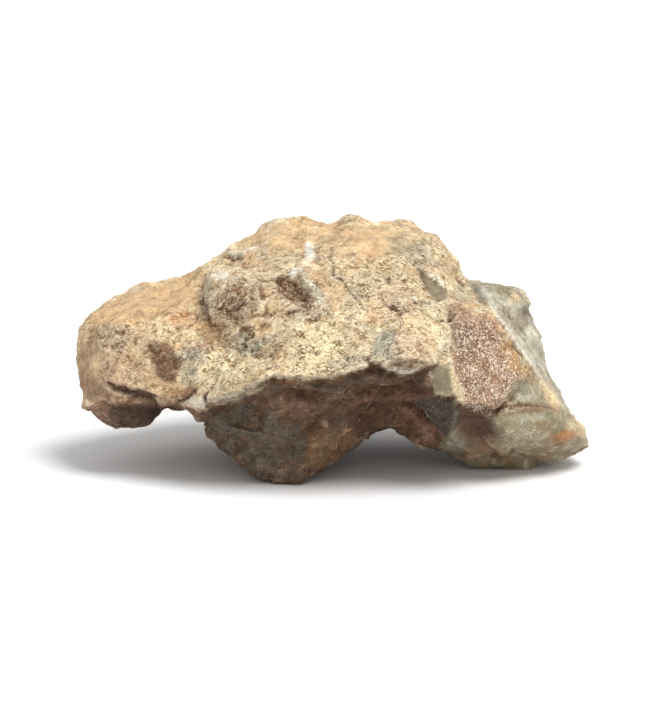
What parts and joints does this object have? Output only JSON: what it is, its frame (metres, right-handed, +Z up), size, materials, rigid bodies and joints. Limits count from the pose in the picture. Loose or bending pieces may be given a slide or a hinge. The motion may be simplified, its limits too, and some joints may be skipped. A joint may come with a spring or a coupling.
{
  "type": "lunar meteorite",
  "caption": "Rough crusted stone with a tall hump overhanging a dark foot, a round lobe at one end and a glassy wedge at the other; a natural specimen that rests on small flats.",
  "frame": {"origin": "on the ground under the middle of the stone's box", "axes": "+X along the stone's length towards the glassy nose, +Y away from the crusted front, +Z up"},
  "size_m": [0.06, 0.035, 0.0282],
  "materials": {
    "stone": "dry mineral crust, sandy cream and tan, with dark brown and grey-green broken faces"
  },
  "bodies": {
    "root": {"stone": "stone"}
  },
  "joints": []
}
